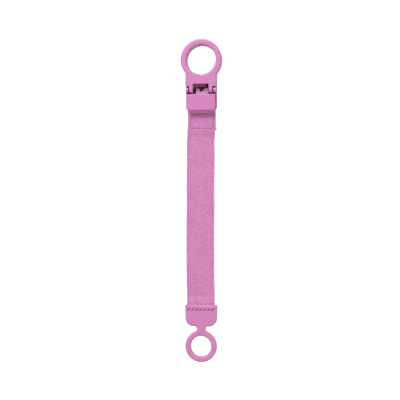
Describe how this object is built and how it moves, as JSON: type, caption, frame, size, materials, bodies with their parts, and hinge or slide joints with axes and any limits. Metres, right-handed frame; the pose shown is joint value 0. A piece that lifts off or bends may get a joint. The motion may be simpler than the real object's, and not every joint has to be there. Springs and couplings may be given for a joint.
{
  "type": "soother strap",
  "caption": "Soother strap: a clip with two ring jaws and a cam lever, a flat woven tape looped on the clip's bar, and a silicone end with a ring.",
  "frame": {"origin": "bottom centre of the whole object as it lies on its back", "axes": "+Y along the strap towards the clip's ring, +Z to the front, +X to the right"},
  "size_m": [0.0278, 0.2184, 0.0081],
  "materials": {
    "moulding": "satin moulded polyoxymethylene",
    "tape": "woven polyester tape, slightly mottled",
    "silicone": "matt silicone rubber",
    "thread": "polyester sewing thread",
    "steel": "blackened steel pin"
  },
  "bodies": {
    "base": {"rear_jaw": "moulding", "hinge_pin": "steel"},
    "jaw": {"front_jaw": "moulding"},
    "lever": {"cam_lever": "moulding"},
    "strap": {"webbing": "tape", "loop_thread": "thread", "silicone_end": "silicone", "cap_thread": "thread"}
  },
  "joints": [
    {"name": "lever_lift", "type": "hinge", "parent": "base", "child": "lever", "pos_m": [0, 0.0748, 0.0061], "axis": [-1, 0, 0], "range_deg": [0, 90]},
    {"name": "jaw_open", "type": "hinge", "parent": "base", "child": "jaw", "pos_m": [0, 0.0748, 0.0061], "axis": [1, 0, 0], "range_deg": [0, 12.6]},
    {"name": "strap_swing", "type": "hinge", "parent": "base", "child": "strap", "pos_m": [0, 0.0639, 0.0028], "axis": [1, 0, 0], "range_deg": [-18, 90]}
  ],
  "couplings": [
    {"joint": "lever_lift", "follows": "jaw_open", "ratio": 7.14}
  ]
}
